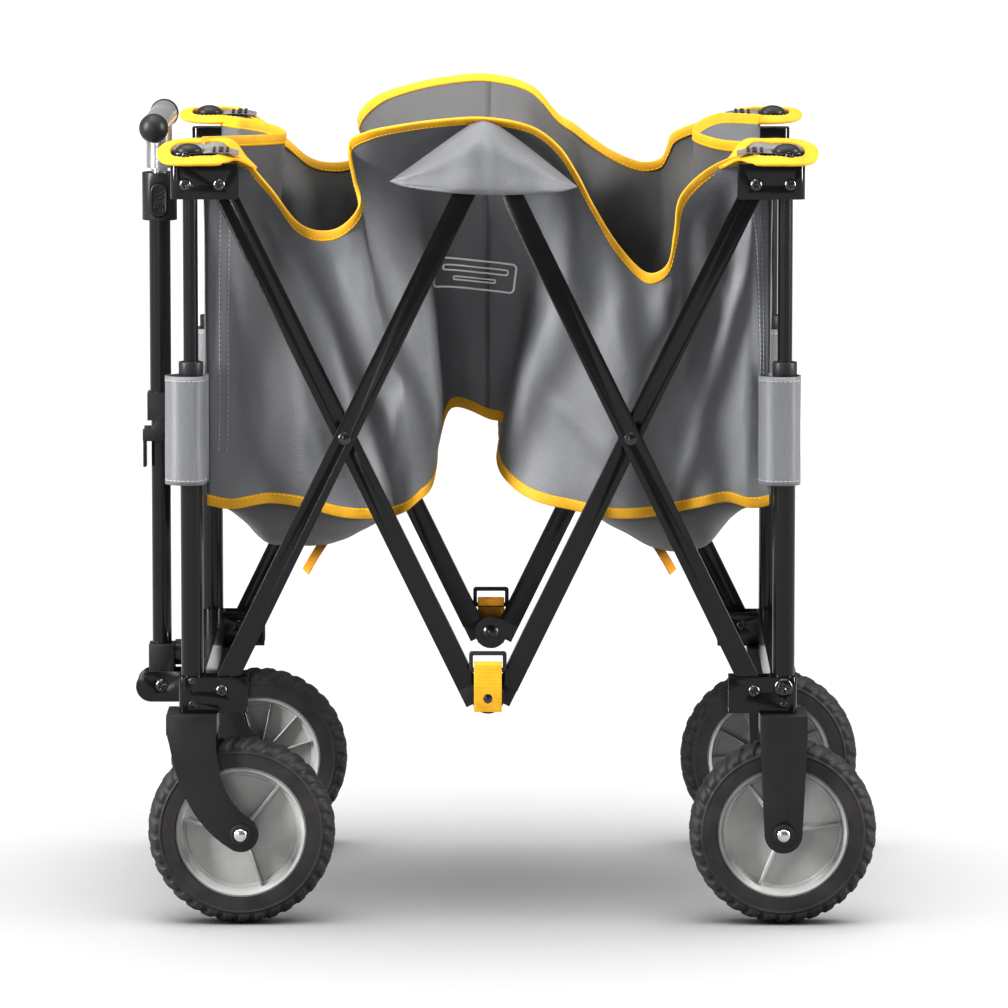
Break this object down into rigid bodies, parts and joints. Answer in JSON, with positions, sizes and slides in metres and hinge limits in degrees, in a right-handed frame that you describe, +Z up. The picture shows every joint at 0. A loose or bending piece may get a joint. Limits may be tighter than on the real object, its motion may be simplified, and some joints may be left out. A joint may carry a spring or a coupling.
{
  "type": "folding camp wagon",
  "caption": "Folding wagon with a double scissor frame, telescoping corner posts, fabric bag, front swivel casters and a telescoping pull handle.",
  "frame": {"origin": "on the ground under the middle of the wagon's box, in its half folded state", "axes": "+X towards the rear, +Y towards the wagon's right side, +Z up; the handle is at the -X end"},
  "size_m": [0.7138, 0.512, 0.768],
  "materials": {
    "frame_paint": "black powder coat, satin",
    "black_plastic": "moulded, satin",
    "grip_plastic": "smooth gloss",
    "dark_steel": "black chrome screws",
    "zinc_steel": "zinc plated",
    "tyre": "moulded rubber with block tread",
    "hub_plastic": "silver grey moulded",
    "grey_fabric": "coated woven polyester",
    "yellow_webbing": "woven binding tape"
  },
  "bodies": {
    "front_base": {"front_posts": "frame_paint", "front_collars": "black_plastic", "front_bottom_brackets": "frame_paint", "front_crossbar": "frame_paint", "front_lower_screws": "dark_steel", "handle_bracket": "frame_paint"},
    "front_rising": {"front_rising_bars": "frame_paint", "front_top_knuckles": "black_plastic"},
    "front_falling": {"front_falling_bars": "frame_paint", "front_bottom_knuckles": "black_plastic", "front_crossing_rivets": "dark_steel"},
    "front_top": {"front_sliders": "frame_paint", "front_top_brackets": "black_plastic", "front_upper_screws": "dark_steel", "bag_front_end": "grey_fabric"},
    "centre_bottom": {"bottom_hinge_bolts": "dark_steel", "strap_rings": "black_plastic", "hinge_straps": "yellow_webbing"},
    "centre_top": {"top_hinge_pins": "dark_steel", "top_pockets": "grey_fabric"},
    "rear_rising": {"rear_rising_bars": "frame_paint", "rear_top_knuckles": "black_plastic"},
    "rear_falling": {"rear_falling_bars": "frame_paint", "rear_bottom_knuckles": "black_plastic", "rear_crossing_rivets": "dark_steel"},
    "rear_top": {"rear_sliders": "frame_paint", "rear_top_brackets": "black_plastic", "rear_upper_screws": "dark_steel", "bag_rear_end": "grey_fabric"},
    "rear_base": {"rear_posts": "frame_paint", "rear_collars": "black_plastic", "rear_bottom_brackets": "frame_paint", "rear_crossbar": "frame_paint", "rear_lower_screws": "dark_steel", "rear_forks": "black_plastic", "rear_axle_bolts": "zinc_steel"},
    "bag_front": {"bag_front_half": "grey_fabric"},
    "bag_rear": {"bag_rear_half": "grey_fabric"},
    "front_left_caster": {"front_left_fork": "black_plastic", "front_left_caster_bolts": "zinc_steel"},
    "front_right_caster": {"front_right_fork": "black_plastic", "front_right_caster_bolts": "zinc_steel"},
    "front_left_wheel": {"front_left_tyre": "tyre", "front_left_hub": "hub_plastic"},
    "front_right_wheel": {"front_right_tyre": "tyre", "front_right_hub": "hub_plastic"},
    "rear_left_wheel": {"rear_left_tyre": "tyre", "rear_left_hub": "hub_plastic"},
    "rear_right_wheel": {"rear_right_tyre": "tyre", "rear_right_hub": "hub_plastic"},
    "handle_base": {"handle_socket": "black_plastic", "handle_lower_tube": "frame_paint"},
    "handle_upper": {"handle_upper_tube": "frame_paint", "handle_lock_housing": "black_plastic", "clamp_block": "black_plastic"},
    "grip": {"handle_stem": "black_plastic", "handle_grip": "grip_plastic", "grip_end_caps": "black_plastic"},
    "lock_button": {"handle_lock_button": "black_plastic"},
    "lever": {"clamp_lever": "black_plastic"}
  },
  "joints": [
    {"name": "fold", "type": "hinge", "parent": "front_base", "child": "front_rising", "pos_m": [-0.2639, 0, 0.224], "axis": [0, -1, 0], "range_deg": [-25.8, 18]},
    {"name": "front_crossing", "type": "hinge", "parent": "front_rising", "child": "front_falling", "pos_m": [-0.14686, 0, 0.46398], "axis": [0, -1, 0], "range_deg": [-36, 51.6]},
    {"name": "front_top_rivet", "type": "hinge", "parent": "front_falling", "child": "front_top", "pos_m": [-0.2639, 0, 0.70396], "axis": [0, -1, 0], "range_deg": [-25.8, 18]},
    {"name": "front_bottom_hinge", "type": "hinge", "parent": "front_falling", "child": "centre_bottom", "pos_m": [-0.012, 0, 0.216], "axis": [0, -1, 0], "range_deg": [-25.8, 18]},
    {"name": "front_top_hinge", "type": "hinge", "parent": "front_rising", "child": "centre_top", "pos_m": [-0.012, 0, 0.71196], "axis": [0, -1, 0], "range_deg": [-18, 25.8]},
    {"name": "rear_top_hinge", "type": "hinge", "parent": "centre_top", "child": "rear_rising", "pos_m": [-0.012, 0, 0.71196], "axis": [0, -1, 0], "range_deg": [-18, 25.8]},
    {"name": "rear_crossing", "type": "hinge", "parent": "rear_rising", "child": "rear_falling", "pos_m": [0.12286, 0, 0.46398], "axis": [0, -1, 0], "range_deg": [-51.6, 36]},
    {"name": "rear_top_rivet", "type": "hinge", "parent": "rear_falling", "child": "rear_top", "pos_m": [0.2399, 0, 0.70396], "axis": [0, -1, 0], "range_deg": [-18, 25.8]},
    {"name": "rear_bottom_rivet", "type": "hinge", "parent": "rear_rising", "child": "rear_base", "pos_m": [0.2399, 0, 0.224], "axis": [0, -1, 0], "range_deg": [-25.8, 18]},
    {"name": "bag_front_gather", "type": "slide", "parent": "centre_top", "child": "bag_front", "axis": [1, 0, 0], "range_m": [-0.2068, 0.1446], "deforming": ["bag_front_half"]},
    {"name": "bag_rear_gather", "type": "slide", "parent": "centre_top", "child": "bag_rear", "axis": [1, 0, 0], "range_m": [-0.1446, 0.2068], "deforming": ["bag_rear_half"]},
    {"name": "front_left_swivel", "type": "hinge", "parent": "front_base", "child": "front_left_caster", "pos_m": [-0.2919, -0.22, 0.19], "axis": [0, 0, 1], "continuous": true},
    {"name": "front_right_swivel", "type": "hinge", "parent": "front_base", "child": "front_right_caster", "pos_m": [-0.2919, 0.22, 0.19], "axis": [0, 0, 1], "continuous": true},
    {"name": "front_left_spin", "type": "hinge", "parent": "front_left_caster", "child": "front_left_wheel", "pos_m": [-0.2459, -0.22, 0.089], "axis": [0, 1, 0], "continuous": true},
    {"name": "front_right_spin", "type": "hinge", "parent": "front_right_caster", "child": "front_right_wheel", "pos_m": [-0.2459, 0.22, 0.089], "axis": [0, 1, 0], "continuous": true},
    {"name": "rear_left_spin", "type": "hinge", "parent": "rear_base", "child": "rear_left_wheel", "pos_m": [0.2679, -0.22, 0.089], "axis": [0, 1, 0], "continuous": true},
    {"name": "rear_right_spin", "type": "hinge", "parent": "rear_base", "child": "rear_right_wheel", "pos_m": [0.2679, 0.22, 0.089], "axis": [0, 1, 0], "continuous": true},
    {"name": "handle_tilt", "type": "hinge", "parent": "front_base", "child": "handle_base", "pos_m": [-0.3319, 0, 0.196], "axis": [0, -1, 0], "range_deg": [0, 100]},
    {"name": "handle_extend", "type": "slide", "parent": "handle_base", "child": "handle_upper", "axis": [0, 0, 1], "range_m": [0, 0.17]},
    {"name": "grip_extend", "type": "slide", "parent": "handle_upper", "child": "grip", "axis": [0, 0, 1], "range_m": [0, 0.2]},
    {"name": "lock_button_press", "type": "slide", "parent": "handle_upper", "child": "lock_button", "axis": [0, 1, 0], "range_m": [0, 0.002], "stiffness_N_per_m": 600},
    {"name": "clamp_lever_turn", "type": "hinge", "parent": "handle_upper", "child": "lever", "pos_m": [-0.3319, 0, 0.4487], "axis": [0, 1, 0], "range_deg": [0, 45]}
  ],
  "couplings": [
    {"joint": "front_crossing", "follows": "fold", "ratio": -2},
    {"joint": "front_top_rivet", "follows": "fold", "ratio": 1},
    {"joint": "front_bottom_hinge", "follows": "fold", "ratio": 1},
    {"joint": "front_top_hinge", "follows": "fold", "ratio": -1},
    {"joint": "rear_top_hinge", "follows": "fold", "ratio": -1},
    {"joint": "rear_crossing", "follows": "fold", "ratio": 2},
    {"joint": "rear_top_rivet", "follows": "fold", "ratio": -1},
    {"joint": "rear_bottom_rivet", "follows": "fold", "ratio": 1},
    {"joint": "bag_front_gather", "follows": "fold", "m_per_rad": 0.457},
    {"joint": "bag_rear_gather", "follows": "fold", "m_per_rad": -0.457}
  ]
}
